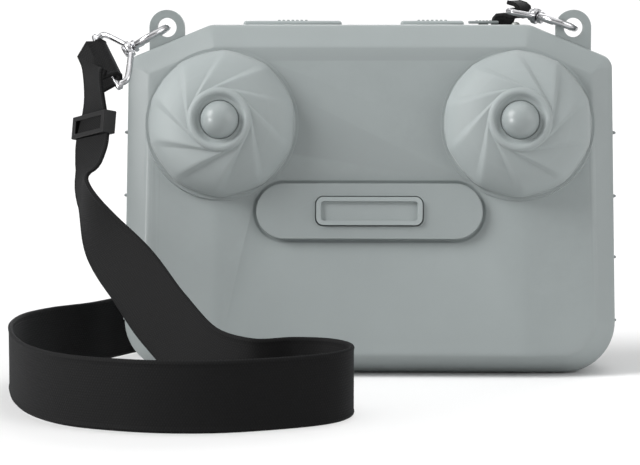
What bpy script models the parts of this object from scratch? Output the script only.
"""Handheld radio transmitter controller with pleated rubber stick boots and a webbing neck strap.

Frame: metres, +X right seen from the front, the front faces -Y, +Z up.
Origin: middle of the flat bottom strip that the case stands on.
Sizes below are millimetres; the helpers turn them into metres.
"""
import math
from collections import namedtuple
from functools import cache

import bmesh
import bpy
from mathutils import Matrix, Vector

MILLI = 0.001

# ---- driving dimensions ----
HEIGHT = 122.0          # bottom strip to top edge
HALF_W = 87.0           # widest half width, at the bottom
HALF_W_TOP = 85.2       # half width where the shoulder starts
SHOULDER_X = 56.0       # where the shoulder slope meets the flat top
SHOULDER_Z = 110.0
CREASE_X = 53.5         # creases between the centre of the face and its side facets
PART_Y = 5.0            # parting plane of the two shells
FRONT_DEPTH = 30.0      # parting plane to face plane at the bottom
REAR_DEPTH = 21.0
TILT = math.radians(9)  # the face leans back
SIDE_LEAN = math.radians(9)   # outer facets of the face fall back
WALL = 2.4
GAP = 0.3
RIM = 0.8               # half thickness of the parting gasket

TRIM = RIM + GAP                      # parting plane to either shell's rim
REAR_Y = PART_Y + REAR_DEPTH          # outer rear face
REAR_IN = REAR_Y - WALL               # inner rear face
TOP_Y = PART_Y + 6.2                  # row of controls on the top edge, and the socket
SIDES = (("left", -1), ("right", 1))  # name, sign of X

COLLECTION = "radio_transmitter_controller"

# material: base colour, roughness, metallic
FINISH = {
    "case": ((0.33, 0.36, 0.36), 0.42, 0.0),
    "boot": ((0.40, 0.43, 0.43), 0.5, 0.0),
    "cap": ((0.46, 0.49, 0.49), 0.38, 0.0),
    "key": ((0.36, 0.39, 0.39), 0.42, 0.0),
    "gasket": ((0.25, 0.27, 0.27), 0.7, 0.0),
    "metal": ((0.72, 0.73, 0.75), 0.22, 1.0),
    "webbing": ((0.02, 0.02, 0.022), 0.85, 0.0),
    "dark": ((0.03, 0.03, 0.035), 0.45, 0.0),
    "inner": ((0.08, 0.08, 0.09), 0.5, 0.0),
    "board": ((0.02, 0.16, 0.08), 0.5, 0.0),
    "cell": ((0.05, 0.12, 0.35), 0.4, 0.0),
}

# ---- scene ----
for old_object in list(bpy.data.objects):
    bpy.data.objects.remove(old_object, do_unlink=True)
parts = bpy.data.collections.new(COLLECTION)
cutters = bpy.data.collections.new(COLLECTION + "_cutters")
for group in (parts, cutters):
    bpy.context.scene.collection.children.link(group)


# ---- object helpers ----
@cache
def material(slot):
    made = bpy.data.materials.new(slot)
    made.use_nodes = True
    colour, roughness, metallic = FINISH[slot]
    inputs = made.node_tree.nodes["Principled BSDF"].inputs
    inputs["Base Color"].default_value = (*colour, 1)
    inputs["Roughness"].default_value = roughness
    inputs["Metallic"].default_value = metallic
    return made


def add(name, mesh, slot=None, matrix=None, parent=None):
    """Link a part; without a material slot it is an unrendered helper for booleans."""
    obj = bpy.data.objects.new(name, mesh)
    (parts if slot else cutters).objects.link(obj)
    obj.parent = parent
    if matrix is not None:
        obj.matrix_basis = matrix
    if slot:
        mesh.materials.append(material(slot))
    else:
        obj.hide_render = True
        obj.display_type = "WIRE"
    return obj


def empty(name, matrix, parent=None):
    obj = bpy.data.objects.new(name, None)
    parts.objects.link(obj)
    obj.parent = parent
    obj.matrix_basis = matrix
    obj.empty_display_size = 0.01
    return obj


def to_mesh(shape, name):
    mesh = bpy.data.meshes.new(name)
    shape.to_mesh(mesh)
    shape.free()
    return mesh


def solid_mesh(shape, name):
    bmesh.ops.remove_doubles(shape, verts=shape.verts, dist=1e-7)
    bmesh.ops.recalc_face_normals(shape, faces=shape.faces)
    return to_mesh(shape, name)


def smooth(mesh, angle=40):
    mesh.shade_smooth()
    mesh.set_sharp_from_angle(angle=math.radians(angle))


def bridge(shape, loops, closed=False):
    """Quads between successive loops of vertices; closed joins the last loop to the first."""
    if closed:
        loops = loops + loops[:1]
    for first, second in zip(loops, loops[1:]):
        for i in range(len(first)):
            j = (i + 1) % len(first)
            shape.faces.new((first[i], first[j], second[j], second[i]))


def box(name, size, centre, slot=None, matrix=None, parent=None):
    shape = bmesh.new()
    bmesh.ops.create_cube(shape, size=1)
    bmesh.ops.scale(shape, vec=Vector(size) * MILLI, verts=shape.verts)
    bmesh.ops.translate(shape, vec=Vector(centre) * MILLI, verts=shape.verts)
    return add(name, solid_mesh(shape, name), slot, matrix, parent)


def cyl(name, radius, span, slot=None, matrix=None, parent=None, segments=24, top_radius=None):
    """Cylinder or cone on local z; span is (bottom, top)."""
    bottom, top = span
    shape = bmesh.new()
    bmesh.ops.create_cone(shape, cap_ends=True, segments=segments, radius1=radius * MILLI,
                          radius2=(radius if top_radius is None else top_radius) * MILLI,
                          depth=(top - bottom) * MILLI)
    bmesh.ops.translate(shape, vec=(0, 0, (bottom + top) / 2 * MILLI), verts=shape.verts)
    mesh = solid_mesh(shape, name)
    smooth(mesh)
    return add(name, mesh, slot, matrix, parent)


def prism(name, flat_outline, span, slot=None, matrix=None, parent=None):
    """Outline of (x, y) points extruded along local z; span is (bottom, top)."""
    bottom, top = span
    shape = bmesh.new()
    corners = [shape.verts.new((x * MILLI, y * MILLI, bottom * MILLI)) for x, y in flat_outline]
    grown = bmesh.ops.extrude_face_region(shape, geom=[shape.faces.new(corners)])
    moved = [item for item in grown["geom"] if isinstance(item, bmesh.types.BMVert)]
    bmesh.ops.translate(shape, vec=(0, 0, (top - bottom) * MILLI), verts=moved)
    return add(name, solid_mesh(shape, name), slot, matrix, parent)


def lathe(name, profile, slot, matrix=None, parent=None, steps=24):
    """Turned solid; the profile is (radius, height) from the top down its outer side."""
    closed = profile[0] == profile[-1]
    points = profile[:-1] if closed else profile
    edges = [(i, i + 1) for i in range(len(points) - 1)]
    if closed:
        edges.append((len(points) - 1, 0))
    mesh = bpy.data.meshes.new(name)
    mesh.from_pydata([(radius * MILLI, 0, z * MILLI) for radius, z in points], edges, [])
    obj = add(name, mesh, slot, matrix, parent)
    turn = obj.modifiers.new("turn", "SCREW")
    turn.axis = "Z"
    turn.steps = turn.render_steps = steps
    turn.use_merge_vertices = True
    turn.merge_threshold = 0.00001
    turn.use_smooth_shade = True
    return obj


def tube(name, points, radius, slot, parent):
    """Round wire along a polyline, made a welded mesh."""
    curve = bpy.data.curves.new(name + "_line", "CURVE")
    curve.dimensions = "3D"
    curve.bevel_depth = radius * MILLI
    curve.bevel_resolution = 2
    curve.use_fill_caps = True
    line = curve.splines.new("POLY")
    line.points.add(len(points) - 1)
    for item, place in zip(line.points, points):
        item.co = (*(place * MILLI), 1)
    guide = bpy.data.objects.new(name + "_line", curve)
    cutters.objects.link(guide)
    bpy.context.view_layer.update()
    depsgraph = bpy.context.evaluated_depsgraph_get()
    mesh = bpy.data.meshes.new_from_object(guide.evaluated_get(depsgraph))
    mesh.name = name
    shape = bmesh.new()
    shape.from_mesh(mesh)
    bmesh.ops.remove_doubles(shape, verts=shape.verts, dist=1e-6)
    bmesh.ops.recalc_face_normals(shape, faces=shape.faces)
    shape.to_mesh(mesh)
    shape.free()
    bpy.data.objects.remove(guide, do_unlink=True)
    return add(name, mesh, slot, parent=parent)


def combine(obj, helper, operation):
    modifier = obj.modifiers.new(operation.lower(), "BOOLEAN")
    modifier.operation = operation
    modifier.object = helper
    modifier.solver = "EXACT"


def cut(obj, helper):
    combine(obj, helper, "DIFFERENCE")


def join(obj, helper):
    combine(obj, helper, "UNION")


def round_edges(obj, width, segments=1, angle=None):
    bevel = obj.modifiers.new("round", "BEVEL")
    bevel.width = width * MILLI
    bevel.segments = segments
    bevel.limit_method = "ANGLE"
    if angle:
        bevel.angle_limit = math.radians(angle)
    return obj


def stadium(length, width, steps=8):
    radius = width / 2
    half = length / 2 - radius
    points = []
    for side in (1, -1):
        for i in range(steps + 1):
            angle = -math.pi / 2 + math.pi * i / steps
            points.append((side * (half + radius * math.cos(angle)),
                           side * radius * math.sin(angle)))
    return points


def rounded_rect(length, width, radius, steps=3):
    points = []
    for x_side, y_side, start in ((1, 1, 0), (-1, 1, 90), (-1, -1, 180), (1, -1, 270)):
        for i in range(steps + 1):
            angle = math.radians(start + 90 * i / steps)
            points.append((x_side * (length / 2 - radius) + radius * math.cos(angle),
                           y_side * (width / 2 - radius) + radius * math.sin(angle)))
    return points


# ---- frames of reference ----
def frame_matrix(x_axis, y_axis, z_axis, origin):
    matrix = Matrix((x_axis, y_axis, z_axis)).transposed().to_4x4()
    matrix.translation = origin * MILLI
    return matrix


def axis_matrix(origin, z_axis, x_hint=(1, 0, 0)):
    """Local z along z_axis and local x as near x_hint as it can be."""
    z = Vector(z_axis).normalized()
    x = Vector(x_hint)
    x = (x - z * x.dot(z)).normalized()
    return frame_matrix(x, z.cross(x), z, Vector(origin))


def shift_matrix(x, y, z):
    return Matrix.Translation(Vector((x, y, z)) * MILLI)


# the face frame: local x = X, local y runs up the face, local z is its outward normal
FACE_UP = Vector((0, math.sin(TILT), math.cos(TILT)))
FACE_NORMAL = Vector((0, -math.cos(TILT), math.sin(TILT)))
FACE_ORIGIN = Vector((0, PART_Y - FRONT_DEPTH, 0))


def face_matrix(x, up, out=0.0):
    origin = FACE_ORIGIN + Vector((x, 0, 0)) + FACE_UP * up + FACE_NORMAL * out
    return frame_matrix(Vector((1, 0, 0)), FACE_UP, FACE_NORMAL, origin)


# ---- case outline ----
# x, z, corner radius of the right half, from the bottom up
RIGHT_CORNERS = ((HALF_W, 0.0, 18.0), (HALF_W_TOP, SHOULDER_Z, 5.0), (SHOULDER_X, HEIGHT, 8.0))
CORNERS = RIGHT_CORNERS + tuple((-x, z, radius) for x, z, radius in reversed(RIGHT_CORNERS))
SHARP_TURN = 0.8        # radians; corners that turn more get more steps
SHARP_STEPS = 5
SLIGHT_STEPS = 3
RADIUS_LOSS = 0.8       # corner radius lost per unit of inset
MIN_RADIUS = 1.0


def left_of(direction):
    return Vector((-direction.y, direction.x))


def outline(inset):
    """Rounded (x, z) outline moved inwards, counter-clockwise seen from the front."""
    edges = []
    for i, corner in enumerate(CORNERS):
        start = Vector(corner[:2])
        along = (Vector(CORNERS[(i + 1) % len(CORNERS)][:2]) - start).normalized()
        edges.append((start + left_of(along) * inset, along))
    points = []
    for i, (place, after) in enumerate(edges):
        previous, before = edges[i - 1]
        cross = before.x * after.y - before.y * after.x
        along = ((place.x - previous.x) * after.y - (place.y - previous.y) * after.x) / cross
        corner = previous + before * along
        radius = max(CORNERS[i][2] - inset * RADIUS_LOSS, MIN_RADIUS)
        turn = math.atan2(cross, before.dot(after))
        start = corner - before * (radius * math.tan(turn / 2))
        centre = start + left_of(before) * radius
        start_angle = math.atan2(start.y - centre.y, start.x - centre.x)
        steps = SHARP_STEPS if turn > SHARP_TURN else SLIGHT_STEPS
        for k in range(steps + 1):
            angle = start_angle + turn * k / steps
            points.append(centre + Vector((math.cos(angle), math.sin(angle))) * radius)
    return points


def with_creases(points):
    """Adds points at X = +-CREASE_X so that the facet creases have vertices."""
    out = []
    for i, start in enumerate(points):
        end = points[(i + 1) % len(points)]
        out.append(start)
        crossings = []
        for x in (-CREASE_X, CREASE_X):
            to_start = start.x - x
            to_end = end.x - x
            if to_start * to_end < -1e-9 and abs(to_start) > 0.02 and abs(to_end) > 0.02:
                share = (x - start.x) / (end.x - start.x)
                crossings.append((share, Vector((x, start.y + (end.y - start.y) * share))))
        out.extend(place for _, place in sorted(crossings, key=lambda item: item[0]))
    return out


# ---- shells ----
# share of the depth, inset of the outline
FRONT_RINGS = ((0.0, 0.0), (0.45, 0.0), (0.62, 0.9), (0.94, 6.6), (1.0, 8.2))
REAR_RINGS = ((0.0, 0.0), (0.45, 0.0), (0.66, 0.9), (0.95, 6.0), (1.0, 8.0))


def ring_y(share, x, z, front):
    """World Y of a ring point; the side facets of the front fall back beyond the crease."""
    if not front:
        return PART_Y + TRIM + share * (REAR_DEPTH - TRIM)
    lean = max(0.0, abs(x) - CREASE_X) * math.tan(SIDE_LEAN)
    depth = FRONT_DEPTH - z * math.tan(TILT) - lean * share
    return PART_Y - TRIM - share * (depth - TRIM)


def run_beyond_crease(loop, side):
    """Ring vertices beyond the crease on one side, in order, both crease vertices included."""
    count = len(loop)
    inside = [side * vert.co.x >= (CREASE_X - 0.01) * MILLI for vert in loop]
    i = next(k for k in range(count) if inside[k] and not inside[k - 1])
    run = []
    while inside[i % count]:
        run.append(loop[i % count])
        i += 1
    return run


def shell(name, rings, front):
    """Skin lofted through inset outlines, closed by its face, with a wall from Solidify."""
    shape = bmesh.new()
    loops = [[shape.verts.new(Vector((x, ring_y(share, x, z, front), z)) * MILLI)
              for x, z in with_creases(outline(inset))] for share, inset in rings]
    bridge(shape, loops)
    last = loops[-1]
    if front:
        shape.faces.new([vert for vert in last if abs(vert.co.x) <= (CREASE_X + 0.01) * MILLI])
        for side in (1, -1):
            shape.faces.new(run_beyond_crease(last, side))
    else:
        shape.faces.new(last)
        bmesh.ops.reverse_faces(shape, faces=shape.faces)
    mesh = to_mesh(shape, name)
    smooth(mesh, 12)
    obj = add(name, mesh, "case")
    wall = obj.modifiers.new("wall", "SOLIDIFY")
    wall.thickness = WALL * MILLI
    wall.offset = -1
    wall.use_even_offset = True
    return obj


front_shell = shell("front_shell", FRONT_RINGS, True)
rear_shell = shell("rear_shell", REAR_RINGS, False)

# ---- sticks: boss and opening in the front shell, clamp ring, boot, gimbal ----
BOOT_X = 51.5           # stick centres
BOOT_UP = 88.6          # measured up along the face plane
BOOT_R = 26.0
BOSS_R = BOOT_R + 0.7
STICK_HOLE_R = 22.4
PIVOT_OUT = -8.0        # gimbal centre below the face plane

CLAMP_RING = ((23.2, 1.5), (BOOT_R, 1.5), (BOOT_R + 0.2, 1.2), (BOOT_R + 0.2, 0.8),
              (23.2, 0.8), (23.2, 1.5))

# radius, height: up the outside to the collar and down into the groove round the stick
BOOT_BASE_R = 25.4
COLLAR_R = 11.2
BOOT_OUTER = ((BOOT_BASE_R, 1.8), (24.6, 4.4), (22.6, 7.0), (19.2, 9.6), (15.2, 11.8),
              (12.2, 13.0), (COLLAR_R, 13.5), (10.6, 14.0), (9.6, 14.0), (9.1, 13.2),
              (8.9, 11.8), (2.4, 11.8))
# radius, height: from the stick outwards and down the inside
BOOT_INNER = ((2.4, 10.6), (9.4, 10.6), (11.0, 11.6), (15.0, 10.4), (18.6, 8.3), (21.8, 5.8),
              (23.4, 3.6), (23.8, 1.8))
PLEATS = 10
PLEAT_POINTS = 3        # ring points per pleat
PLEAT_STEP = 0.55       # greatest height of the step at a pleat
PLEAT_TURN = math.radians(50)  # turn of the pleats from base to collar

FRAME_IN_R, FRAME_OUT_R, FRAME_HALF = 17.5, 20.8, 2.6
YOKE_IN_R, YOKE_OUT_R, YOKE_HALF = 8.5, 11.5, 2.0
YOKE_BORE_R = 8.0
BEARING_R = 1.6         # holes that the pins turn in
PIN_R = 1.2
TRUNNION_HALF = 19
AXLE_HALF = 11.6
STICK_R = 1.8
STICK_TOP = 14.6        # above the face plane
HUB_R = 4.2
KNOB_R = 6.6
CAP_BASE = 12.15
CAP_PROFILE = ((0, 18.2), (2.4, 17.9), (4.4, 17.0), (5.8, 15.6), (6.5, 13.9), (KNOB_R, 12.6),
               (6.3, CAP_BASE), (0, CAP_BASE))
TILT_SENSOR = ((3.9, 5, 5), (14.95, 0, 0))    # size, centre
PAN_SENSOR = ((5, 3.4, 5), (0, 14.2, 0))


def boot_ring(radius, height, sign, pleated):
    """Ring turned further the smaller it is; pleated gives it ten sides with a step at each."""
    count = PLEATS * PLEAT_POINTS
    reach = max(0.0, min(1.0, (BOOT_BASE_R - radius) / (BOOT_BASE_R - COLLAR_R)))
    step = 0.0
    if pleated and 0 < reach < 1:
        step = PLEAT_STEP * math.sin(math.pi * min(1.0, reach * 1.02)) ** 0.5
    points = []
    for i in range(count):
        angle = math.pi / 2 + sign * (-2 * math.pi * (i / count) - PLEAT_TURN * reach)
        side = 1.0
        if pleated:
            from_middle = ((i / PLEAT_POINTS) % 1 - 0.5) * 2 * math.pi / PLEATS
            side = math.cos(math.pi / PLEATS) / math.cos(from_middle)
        local_radius = radius * (1 - (1 - side) * (1 - reach))
        rise = step * (i % PLEAT_POINTS) / (PLEAT_POINTS - 1)
        points.append(Vector((local_radius * math.cos(angle), local_radius * math.sin(angle),
                              height + rise)) * MILLI)
    return points


def build_boot(side, sign, at):
    shape = bmesh.new()
    rings = [[shape.verts.new(place) for place in boot_ring(radius, height, sign, pleated)]
             for profile, pleated in ((BOOT_OUTER, True), (BOOT_INNER, False))
             for radius, height in profile]
    bridge(shape, rings, closed=True)
    add(f"{side}_boot", solid_mesh(shape, f"{side}_boot"), "boot", at)


def ring_profile(inner, outer, half):
    return ((inner, half), (outer, half), (outer, -half), (inner, -half), (inner, half))


def build_gimbal(side, pivot, across, upright):
    """Fixed frame ring, the yoke that turns in it, and a sensor on each; returns the yoke axis."""
    frame = lathe(f"{side}_gimbal_frame", ring_profile(FRAME_IN_R, FRAME_OUT_R, FRAME_HALF),
                  "inner", pivot, steps=28)
    cut(frame, cyl(f"cut_frame_{side}", BEARING_R, (-25, 25), matrix=across, segments=12))
    yoke_axis = empty(f"{side}_yoke_axis", pivot)
    yoke = lathe(f"{side}_yoke", ring_profile(YOKE_IN_R, YOKE_OUT_R, YOKE_HALF), "inner",
                 parent=yoke_axis)
    join(yoke, cyl(f"cut_trunnion_{side}", PIN_R, (-TRUNNION_HALF, TRUNNION_HALF),
                   matrix=across, segments=10))
    cut(yoke, cyl(f"cut_yoke_bore_{side}", YOKE_BORE_R, (-4, 4), matrix=pivot))
    cut(yoke, cyl(f"cut_yoke_{side}", BEARING_R, (-13, 13), matrix=upright, segments=12))
    tilt_sensor = box(f"{side}_tilt_sensor", *TILT_SENSOR, "dark", matrix=pivot)
    cut(tilt_sensor, cyl(f"cut_tilt_{side}", 1.5, (10, 20), matrix=across, segments=12))
    box(f"{side}_pan_sensor", *PAN_SENSOR, "dark", parent=yoke_axis)
    return yoke_axis


def build_stick(side, at, pivot, upright, yoke_axis):
    """Stick with hub and axle, and its thumb cap."""
    stick_axis = empty(f"{side}_stick_axis", Matrix.Identity(4), yoke_axis)
    stick = cyl(f"{side}_stick", STICK_R, (-4, STICK_TOP - PIVOT_OUT), "metal",
                parent=stick_axis, segments=12)
    join(stick, cyl(f"cut_hub_{side}", HUB_R, (-3, 3), matrix=pivot, segments=16))
    join(stick, cyl(f"cut_axle_{side}", PIN_R, (-AXLE_HALF, AXLE_HALF), matrix=upright,
                    segments=10))
    cap = lathe(f"{side}_thumb_cap", CAP_PROFILE, "cap", shift_matrix(0, 0, -PIVOT_OUT),
                stick_axis)
    cut(cap, cyl(f"cut_cap_{side}", STICK_R + GAP, (10, 15.2), matrix=at, segments=12))


for side, sign in SIDES:
    at = face_matrix(sign * BOOT_X, BOOT_UP)
    pivot = face_matrix(sign * BOOT_X, BOOT_UP, PIVOT_OUT)
    pivot_place = pivot.translation / MILLI
    across = axis_matrix(pivot_place, (1, 0, 0), FACE_UP)
    upright = axis_matrix(pivot_place, FACE_UP)
    join(front_shell, cyl(f"cut_boss_{side}", BOSS_R, (-6, 0.5), matrix=at, segments=40))
    cut(front_shell, cyl(f"cut_stick_{side}", STICK_HOLE_R, (-9, 3), matrix=at, segments=32))
    lathe(f"{side}_boot_ring", CLAMP_RING, "case", at, steps=40)
    build_boot(side, sign, at)
    build_stick(side, at, pivot, upright, build_gimbal(side, pivot, across, upright))

# ---- centre panel in its seat, and its framed key ----
PANEL_L = 78.4
PANEL_W = 19.2
PANEL_UP = 58.0
SEAT_PLAY = 1.6         # seat length and width over the panel's
KEY_L = 36.8
KEY_W = 9.8
KEY_CORNER = 2.5
KEY_PLAY = 0.7          # well length and width over the key's
KEY_FLOOR = (33.6, 6.8, 1.2)    # length, width, corner radius of the sunk floor
FLOOR_OUT = 1.9
STEM = ((10, 4, 6.5), (0, 0, -2.6))           # size, centre
STEM_HOLE = (14, 7, 8)
KEY_SWITCH = ((12, 9, 3), (0, 0, -8.8))

panel_at = face_matrix(0, PANEL_UP)
cut(front_shell, prism("cut_panel_seat", stadium(PANEL_L + SEAT_PLAY, PANEL_W + SEAT_PLAY, 6),
                       (-1.5, 3), matrix=panel_at))
cut(front_shell, box("cut_stem", STEM_HOLE, (0, 0, 0), matrix=panel_at))

panel = prism("center_panel", stadium(PANEL_L, PANEL_W), (-1.2, 2.0), "case", panel_at)
round_edges(panel, 1.2, segments=2, angle=60)
key_well = rounded_rect(KEY_L + KEY_PLAY, KEY_W + KEY_PLAY, KEY_CORNER + 0.3)
cut(panel, prism("cut_key_well", key_well, (-3, 4), matrix=panel_at))

key_axis = empty("center_key_axis", panel_at)
key = prism("center_key", rounded_rect(KEY_L, KEY_W, KEY_CORNER), (0.4, 3.0), "key",
            parent=key_axis)
cut(key, prism("cut_key_floor", rounded_rect(*KEY_FLOOR), (FLOOR_OUT, 5), matrix=panel_at))
join(key, box("cut_key_stem", *STEM, matrix=panel_at))
box("key_switch", *KEY_SWITCH, "dark", matrix=panel_at)

# ---- screw posts of the two shells, and their screws ----
SCREWS = ((-74.5, 24.0), (74.5, 24.0), (-75.5, 98.0), (75.5, 98.0))   # x, z
POST_R = 3.2
POST_END = REAR_IN - 4.0        # where the front shell's post meets the rear shell's
PILOT_R = 1.3
SCREW_HOLE_R = 1.5
SCREW_SEAT_R = 2.9
SCREW_SEAT_DEPTH = 1.2
SCREW_PROFILE = ((0, REAR_Y - 0.1), (2.0, REAR_Y - 0.1), (2.5, REAR_Y - 0.5),
                 (2.5, REAR_Y - 0.9), (1.0, REAR_Y - 0.9), (1.0, REAR_IN - 8),
                 (0, REAR_IN - 8.6))

for i, (x, z) in enumerate(SCREWS, 1):
    at = axis_matrix((x, 0, z), (0, 1, 0))
    start = ring_y(1, x, z, True) + 1.4       # inside the face's wall
    join(front_shell, cyl(f"cut_post_{i}", POST_R, (start, POST_END), matrix=at, segments=12))
    join(rear_shell, cyl(f"cut_rear_post_{i}", POST_R, (POST_END + GAP, REAR_Y - 1.0),
                         matrix=at, segments=12))
    cut(front_shell, cyl(f"cut_pilot_{i}", PILOT_R, (REAR_IN - 10, REAR_IN + 2), matrix=at,
                         segments=10))
    cut(rear_shell, cyl(f"cut_screw_hole_{i}", SCREW_HOLE_R, (REAR_IN - 6, REAR_Y + 3),
                        matrix=at, segments=10))
    cut(rear_shell, cyl(f"cut_screw_seat_{i}", SCREW_SEAT_R,
                        (REAR_Y - SCREW_SEAT_DEPTH, REAR_Y + 3), matrix=at, segments=16))
    lathe(f"case_screw_{i}", SCREW_PROFILE, "metal", at, steps=12)

# ---- gasket in the parting line, with four nubs on each side ----
GASKET_SECTION = ((0.25, -RIM), (0.25, RIM), (2.0, RIM), (2.0, -RIM))  # inset, y from parting
NUB_Z = (16.8, 39.5, 61.3, 83.8)
NUB_R = RIM - 0.05
NUB_TIP_R = 0.35
NUB_SPAN = (-1.0, 1.7)          # across the case's side edge


def build_gasket():
    shape = bmesh.new()
    rings = [[shape.verts.new(Vector((x, PART_Y + y, z)) * MILLI) for x, z in outline(inset)]
             for inset, y in GASKET_SECTION]
    bridge(shape, rings, closed=True)
    gasket = add("shell_gasket", solid_mesh(shape, "shell_gasket"), "gasket")
    for side, sign in SIDES:
        for k, z in enumerate(NUB_Z, 1):
            edge = HALF_W + (HALF_W_TOP - HALF_W) * z / SHOULDER_Z
            at = axis_matrix((sign * edge, PART_Y, z), (sign, 0, 0), (0, 0, 1))
            join(gasket, cyl(f"cut_nub_{side}_{k}", NUB_R, NUB_SPAN, matrix=at, segments=8,
                             top_radius=NUB_TIP_R))


build_gasket()

# ---- top edge: shoulder keys, switch, lamp ----
TOP_KEYS = (("left_shoulder_key", -45.0, -10.0), ("right_shoulder_key", 11.0, 33.5))  # x ends
TOP_KEY_DEPTH = 5.8
SWITCH_X = 40.5
SWITCH_SIZE = (10.6, 5.0, 1.0)
SWITCH_RIDGE = ((1.2, 4.2, 0.8), (0, 0, 1.5))         # size, centre
SWITCH_STEM = ((3.4, 2.2, 6.2), (0, 0, -2.4))
LAMP_X = 52.0
LAMP_R = 1.6


def build_top_key(name, x_start, x_end):
    """Key with a neck and a flange below it, and its opening."""
    width = x_end - x_start
    place = ((x_start + x_end) / 2, TOP_Y, HEIGHT)
    cut(rear_shell, box(f"cut_{name}", (width + 0.8, TOP_KEY_DEPTH + 0.8, 8), place))
    at = shift_matrix(*place)
    axis = empty(f"{name}_axis", at)
    top_key = box(name, (width, TOP_KEY_DEPTH, 4.2), (0, 0, -0.7), "case", parent=axis)
    round_edges(top_key, 0.6, segments=2)
    join(top_key, box(f"cut_flange_{name}", (width + 3.2, 5.0, 1.2), (0, 0, -4.0), matrix=at))
    join(top_key, box(f"cut_neck_{name}", (width - 4, 4.0, 3.0), (0, 0, -3.0), matrix=at))


def build_power_switch():
    cut(rear_shell, box("cut_switch", (8.0, 3.0, 8), (SWITCH_X + 1.0, TOP_Y, HEIGHT)))
    at = shift_matrix(SWITCH_X, TOP_Y, HEIGHT)
    axis = empty("power_switch_axis", at)
    switch = box("power_switch", SWITCH_SIZE, (0, 0, 0.85), "dark", parent=axis)
    join(switch, box("cut_ridge", *SWITCH_RIDGE, matrix=at))
    join(switch, box("cut_switch_stem", *SWITCH_STEM, matrix=at))


def build_lamp():
    at = axis_matrix((LAMP_X, TOP_Y, 0), (0, 0, 1))
    cut(rear_shell, cyl("cut_lamp", LAMP_R + GAP, (HEIGHT - 4, HEIGHT + 2), matrix=at,
                        segments=16))
    cyl("status_lamp", LAMP_R, (HEIGHT - 4.5, HEIGHT + 0.9), "cap", at, segments=16,
        top_radius=1.3)


for top_key_row in TOP_KEYS:
    build_top_key(*top_key_row)
build_power_switch()
build_lamp()

# ---- rear keys ----
REAR_KEYS = (("left_rear_key", -62.0, 80.0), ("right_rear_key", 62.0, 80.0))   # x, z
REAR_KEY_R = 5.0
REAR_KEY_HOLE_R = 5.4
REAR_KEY_PROFILE = ((0, 1.5), (3.8, 1.5), (REAR_KEY_R, 0.6), (REAR_KEY_R, -2.7), (6.2, -2.7),
                    (6.2, -3.6), (0, -3.6))

for name, x, z in REAR_KEYS:
    cut(rear_shell, cyl(f"cut_{name}", REAR_KEY_HOLE_R, (REAR_IN - 3, REAR_Y + 3),
                        matrix=axis_matrix((x, 0, z), (0, 1, 0))))
    axis = empty(f"{name}_axis", axis_matrix((x, REAR_Y, z), (0, 1, 0)))
    lathe(name, REAR_KEY_PROFILE, "dark", parent=axis)

# ---- battery door with its latch ----
DOOR_W, DOOR_H = 60.0, 46.0
DOOR_Z = 16.0                   # bottom edge
DOOR_TOP = DOOR_Z + DOOR_H
DOOR_T = WALL - 0.3
DOOR_PLAY = 0.8                 # opening over the door, and notch over the latch
LATCH_W, LATCH_T, LATCH_H = 14.0, 2.0, 7.0
RIB_COUNT = 3
RIB_SIZE = (LATCH_W - 3, 1.0, 0.8)
RIB_DROP = 1.8                  # first rib below the door's top edge
RIB_PITCH = 1.7


def build_door():
    cut(rear_shell, box("cut_door", (DOOR_W + DOOR_PLAY, 8, DOOR_H + DOOR_PLAY),
                        (0, REAR_Y, DOOR_Z + DOOR_H / 2)))
    door_axis = empty("battery_door_axis", shift_matrix(0, REAR_Y, DOOR_Z))
    door = box("battery_door", (DOOR_W, DOOR_T, DOOR_H), (0, -DOOR_T / 2, DOOR_H / 2), "case",
               parent=door_axis)
    cut(door, box("cut_latch", (LATCH_W + DOOR_PLAY, 8, 2 * (LATCH_H + 3.6)),
                  (0, REAR_Y, DOOR_TOP)))
    latch_axis = empty("door_latch_axis", shift_matrix(0, 0, DOOR_H), door_axis)
    latch = box("door_latch", (LATCH_W, LATCH_T, LATCH_H), (0, -0.9, -LATCH_H / 2), "dark",
                parent=latch_axis)
    for k in range(RIB_COUNT):
        rib_z = DOOR_TOP - RIB_DROP - RIB_PITCH * k
        join(latch, box(f"cut_rib_{k + 1}", RIB_SIZE, (0, REAR_Y + 0.3, rib_z)))


build_door()

# ---- speaker behind its grille of slots ----
SLOT_SIZE = (16, 8, 1.4)
SLOT_Z, SLOT_PITCH, SLOT_COUNT = 84, 3.4, 4
SPEAKER_PROFILE = ((0, 0), (9, 0), (9, -1.2), (7.5, -4.5), (0, -4.5))
SPEAKER_Z = 89

for k in range(SLOT_COUNT):
    cut(rear_shell, box(f"cut_grille_{k + 1}", SLOT_SIZE, (0, REAR_Y, SLOT_Z + SLOT_PITCH * k)))
lathe("speaker", SPEAKER_PROFILE, "dark", axis_matrix((0, REAR_IN - 0.6, SPEAKER_Z), (0, 1, 0)),
      steps=20)

# ---- socket in the right-hand side, with its cover ----
USB_Z = 50.0
USB_HOLE = (12, 5.6, 12.6)
USB_SOCKET = (7.0, 3.4, 9.2)
COVER_T, COVER_D, COVER_H = 1.2, 5.0, 12.0

cut(rear_shell, box("cut_usb", USB_HOLE, (HALF_W - 1, TOP_Y, USB_Z)))
usb_axis = empty("usb_cover_axis", shift_matrix(HALF_W - 0.4, TOP_Y, USB_Z - COVER_H / 2))
box("usb_cover", (COVER_T, COVER_D, COVER_H), (-COVER_T / 2, 0, COVER_H / 2), "gasket",
    parent=usb_axis)
box("usb_socket", USB_SOCKET, (HALF_W - WALL - 5.0, TOP_Y, USB_Z), "metal")

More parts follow.
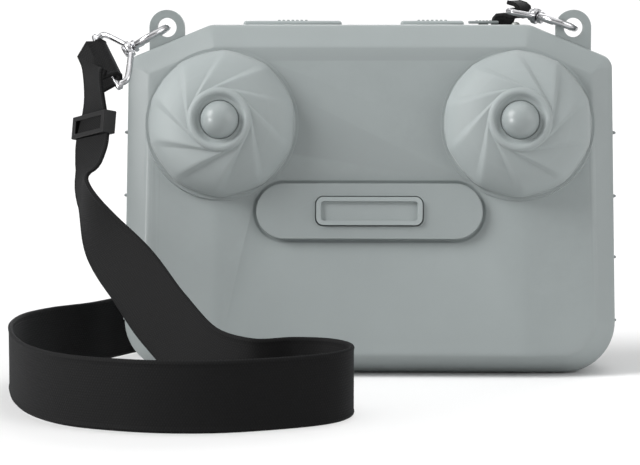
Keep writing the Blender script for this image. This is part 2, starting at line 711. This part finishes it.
# ---- boards, battery and motor inside the case ----
# name, size, centre
BOARDS = (
    ("top_switch_board", (108, 8, 1.2), (0, TOP_Y, HEIGHT - 8.0)),
    ("main_board", (92, 1.6, 30), (0, 3.2, 34)),
    ("antenna_board", (30, 1.2, 9), (0, 6.5, 104)),
)
BATTERY = ((56, 14, 36), (0, REAR_IN - 8.4, DOOR_Z + 20))     # size, centre
MOTOR_R = 4.5
MOTOR_HALF = 5.5
MOTOR_PLACE = (-66, 12, 44)

for name, size, centre in BOARDS:
    box(name, size, centre, "board")
round_edges(box("battery_pack", *BATTERY, "cell"), 1.0)
cyl("vibration_motor", MOTOR_R, (-MOTOR_HALF, MOTOR_HALF), "metal",
    axis_matrix(MOTOR_PLACE, (0, 0, 1)), segments=16)

# ---- eyelets, snap hooks, gates, swivel loops ----
LUG_X = 71.6
LUG_Z = 121.0           # centre of the eye
LUG_R = 6.2
LUG_HOLE = 3.4
LUG_T = 3.0
LUG_Y = PART_Y - TRIM - GAP - LUG_T / 2
LUG_FOOT = 10           # eye centre to the foot
LUG_CHAMFER = 0.4
NOTCH_SIZE = (2 * LUG_R + 0.8, LUG_T + 2.6, 16)
NOTCH_Z = 113
HOOK_R = 6.5            # centre-line radius of the snap hook
WIRE_R = 1.2
RING_STEPS = 22
GATE_START, GATE_END = math.radians(50), math.radians(112)
GATE_STEPS = 5
GATE_LEAD = (WIRE_R + GAP / 2) / HOOK_R * 1.08        # angle left free at each end of the gate
# name, radius, span along the hook direction from the eye
SHANK = (("shank", 1.3, (2 * HOOK_R - 0.5, 17.0)),
         ("shank_head", 2.2, (16.6, 17.8)),
         ("shank_foot", 2.2, (2 * HOOK_R, 14.0)))
LOOP_R = 1.1
LOOP_HUB = 15.3         # eye to the middle of the loop's hub
LOOP_HUB_R = 2.9
LOOP_BORE_R = 1.6
WEB_W = 22.0
WEB_T = 1.5

# eye: centre of the eyelet; away: hook direction; aside: second direction of the ring's plane;
# bar: direction of the loop's bar; reach: eye to bar; half: half width of the webbing there
Hook = namedtuple("Hook", "eye away aside bar reach half")


def lay_hook(sign, away, bar, reach, half):
    away = Vector(away).normalized()
    bar = Vector(bar)
    bar = (bar - away * bar.dot(away)).normalized()
    bore = Vector((0, 1, 0))
    aside = (bore - away * bore.dot(away)).normalized()
    return Hook(Vector((sign * LUG_X, LUG_Y, LUG_Z)), away, aside, bar, reach, half)


HOOKS = {
    "left": lay_hook(-1, (-0.855, -0.05, -0.485), (0.42, -0.70, -0.57), 24.8, WEB_W / 2),
    "right": lay_hook(1, (-0.82, 0.50, 0.27), (0.57, 0.82, 0.02), 22.4, 5.0),
}


def ring_arc(hook, origin, start, end, steps):
    """Points on the hook's ring from origin; angles start at the end away from the eyelet."""
    centre = hook.eye + hook.away * HOOK_R
    points = []
    for k in range(steps + 1):
        angle = start + (end - start) * k / steps
        spoke = hook.away * math.cos(angle) + hook.aside * math.sin(angle)
        points.append(centre + spoke * HOOK_R - origin)
    return points


def build_lug(side, sign, eye):
    cut(front_shell, box(f"cut_lug_{side}", NOTCH_SIZE, (sign * LUG_X, LUG_Y + 1.0, NOTCH_Z)))
    at = axis_matrix(eye, (0, -1, 0))     # local y is world +Z
    angles = [math.pi * k / 10 for k in range(11)]
    shape = [(LUG_R * math.cos(angle), LUG_R * math.sin(angle)) for angle in angles]
    shape += [(-LUG_R, LUG_CHAMFER - LUG_FOOT), (LUG_CHAMFER - LUG_R, -LUG_FOOT),
              (LUG_R - LUG_CHAMFER, -LUG_FOOT), (LUG_R, LUG_CHAMFER - LUG_FOOT)]
    lug = prism(f"{side}_strap_lug", shape, (-LUG_T / 2, LUG_T / 2), "case", at)
    round_edges(lug, 0.5, angle=60)
    cut(lug, cyl(f"cut_eye_{side}", LUG_HOLE, (-3, 3), matrix=at, segments=20))


def build_hook(side, hook, along):
    """Ring, open where the gate sits, with its shank; returns the hook's axis."""
    axis = empty(f"{side}_hook_axis", shift_matrix(*hook.eye))
    points = ring_arc(hook, hook.eye, GATE_END, GATE_START + 2 * math.pi, RING_STEPS)
    ring = tube(f"{side}_hook", points, WIRE_R, "metal", axis)
    for name, radius, span in SHANK:
        join(ring, cyl(f"cut_{name}_{side}", radius, span, matrix=along, segments=12))
    return axis


def build_gate(side, hook, hook_axis):
    """Short wire that closes the ring, hinged next to the shank."""
    hinge = ring_arc(hook, Vector((0, 0, 0)), GATE_START, GATE_END, 1)[0]
    axis = empty(f"{side}_gate_axis", shift_matrix(*(hinge - hook.eye)), hook_axis)
    points = ring_arc(hook, hinge, GATE_START + GATE_LEAD, GATE_END - GATE_LEAD, GATE_STEPS)
    tube(f"{side}_gate", points, WIRE_R * 0.85, "metal", axis)


def build_loop(side, hook, along, hook_axis):
    """Hub round the shank and a D whose bar carries the webbing."""
    away, bar = hook.away, hook.bar
    axis = empty(f"{side}_loop_axis", shift_matrix(*(away * LOOP_HUB)), hook_axis)
    half = hook.half + 1.0 + LOOP_R
    far = hook.reach - LOOP_HUB
    path = [bar * 2.4, bar * 3.6 + away * 0.8, bar * (half - 0.6) + away * far * 0.56,
            bar * half + away * far * 0.86, bar * (half - 0.5) + away * far]
    path += [place - 2 * bar * place.dot(bar) for place in reversed(path)]
    loop = tube(f"{side}_loop", path, LOOP_R, "metal", axis)
    join(loop, cyl(f"cut_hub_ring_{side}", LOOP_HUB_R, (LOOP_HUB - 1, LOOP_HUB + 1),
                   matrix=along, segments=16))
    cut(loop, cyl(f"cut_hub_bore_{side}", LOOP_BORE_R, (13, 18), matrix=along, segments=12))


for side, sign in SIDES:
    hook = HOOKS[side]
    along = axis_matrix(hook.eye, hook.away, hook.aside)
    build_lug(side, sign, hook.eye)
    hook_axis = build_hook(side, hook, along)
    build_gate(side, hook, hook_axis)
    build_loop(side, hook, along, hook_axis)

# ---- webbing strap ----
WEB_HALF = WEB_W / 2
FRAME_SPACING = 7.0
# centre, width direction, share of the full width: down from the left hook to the floor
LEFT_FALL = (
    ((-97.2, -1.0, 95), (0.44, -0.88, -0.14), 0.92),
    ((-97.8, -3.6, 82), (0.60, -0.80, 0.03), 1),
    ((-98.6, -5.8, 74), (0.52, -0.85, 0.08), 1),
    ((-100.5, -10, 64), (0.28, -0.94, 0.2), 1),
    ((-93, -21, 49), (0.60, -0.62, 0.48), 1),
    ((-80, -38, 37), (0.76, -0.25, 0.60), 1),
    ((-68, -56, 25), (0.72, -0.08, 0.69), 1),
    ((-54, -73, 14.6), (0.42, 0.0, 0.90), 1),
)
# x, y of the webbing standing on edge on the floor
FLOOR = (
    (-38, -83), (-24, -80), (-12, -83), (-5.5, -95), (-10, -111), (-27, -123), (-50, -130),
    (-74, -127), (-95, -115), (-110, -90), (-119, -55), (-120, -28), (-113, -9), (-101, 5),
    (-93, 20), (-84, 36), (-68, 49), (-42, 57), (-12, 60), (15, 58),
)
FLOOR_Z = WEB_HALF + 0.5
# as LEFT_FALL: up behind the case to the right hook
RIGHT_RISE = (
    ((36, 53, 14), (-0.40, 0, 0.92), 1),
    ((46, 44.5, 30), (-0.80, 0, 0.60), 1),
    ((47.5, 36, 56), (-0.98, 0, 0.18), 0.95),
    ((45, 32.0, 84), (-0.98, -0.05, 0.1), 0.8),
    ((45.5, 30.5, 110), (-0.90, -0.35, 0.15), 0.55),
    ((48, 25.5, 122.5), (-0.75, -0.64, 0.0), 0.45),
)


def fold_points(hook):
    """Turn of the webbing round the loop's bar: a short tail, the turn, then the main run."""
    away = hook.away
    bar = hook.eye + away * hook.reach
    normal = away.cross(hook.bar).normalized()
    radius = LOOP_R + 1.6 * GAP + WEB_T / 2
    centres = [bar - normal * radius + away * 6, bar - normal * radius + away * 2]
    for k in range(5):
        angle = math.pi * k / 4
        centres.append(bar - normal * radius * math.cos(angle) - away * radius * math.sin(angle))
    centres += [bar + normal * (radius + 0.1) + away * 2, bar + normal * (radius + 0.3) + away * 4.4]
    return [(centre, hook.bar, hook.half * 0.94) for centre in centres]


def strap_controls():
    """Centres, width directions and half widths from the left hook to the right hook."""
    floor = [((x, y, FLOOR_Z), (0, 0, 1), 1) for x, y in FLOOR]
    run = fold_points(HOOKS["left"])
    run += [(Vector(centre), Vector(width), WEB_HALF * share)
            for centre, width, share in (*LEFT_FALL, *floor, *RIGHT_RISE)]
    run += [(centre, -width, half) for centre, width, half in reversed(fold_points(HOOKS["right"]))]
    return run


def catmull(before, start, end, after, t):
    return 0.5 * ((2 * start) + (end - before) * t
                  + (2 * before - 5 * start + 4 * end - after) * t * t
                  + (3 * start - before - 3 * end + after) * t * t * t)


def ribbon_frames(run):
    """Evenly eased frames (centre, width direction, normal, half width) along the controls."""
    eased = []
    last = len(run) - 1
    for i in range(last):
        picks = [run[max(0, min(last, i + k))] for k in (-1, 0, 1, 2)]
        count = max(1, round((picks[2][0] - picks[1][0]).length / FRAME_SPACING))
        for k in range(count + (1 if i == last - 1 else 0)):
            eased.append([catmull(*column, k / count) for column in zip(*picks)])
    frames = []
    for i, (centre, width, half) in enumerate(eased):
        following = eased[min(i + 1, len(eased) - 1)][0]
        along = (following - eased[max(i - 1, 0)][0]).normalized()
        width = width.normalized()
        width = (width - along * width.dot(along)).normalized()
        frames.append((centre, width, along.cross(width).normalized(), half))
    return frames


def build_strap(frames):
    shape = bmesh.new()
    sections = [[shape.verts.new((centre + width * across * half
                                  + normal * through * (WEB_T / 2)) * MILLI)
                 for across, through in ((-1, -1), (1, -1), (1, 1), (-1, 1))]
                for centre, width, normal, half in frames]
    bridge(shape, sections)
    shape.faces.new(sections[0])
    shape.faces.new(sections[-1])
    add("strap", solid_mesh(shape, "strap"), "webbing")


# slider: a flat frame round the webbing, on the strap frame nearest this place
SLIDER_NEAR = Vector((-97.4, -2.4, 87))
SLIDER_T, SLIDER_H = 4.8, 8.0


def build_slider(frames):
    centre, width, normal, half = min(frames, key=lambda item: (item[0] - SLIDER_NEAR).length)
    at = frame_matrix(normal, width, normal.cross(width), centre)
    axis = empty("strap_slider_axis", at)
    slider = box("strap_slider", (SLIDER_T, 2 * half + 2.8, SLIDER_H), (0, 0, 0), "dark",
                 parent=axis)
    round_edges(slider, 0.5)
    cut(slider, box("cut_slider", (WEB_T + 2.1, 2 * half + 1.2, 14), (0, 0, 0), matrix=at))


strap_frames = ribbon_frames(strap_controls())
build_strap(strap_frames)
build_slider(strap_frames)
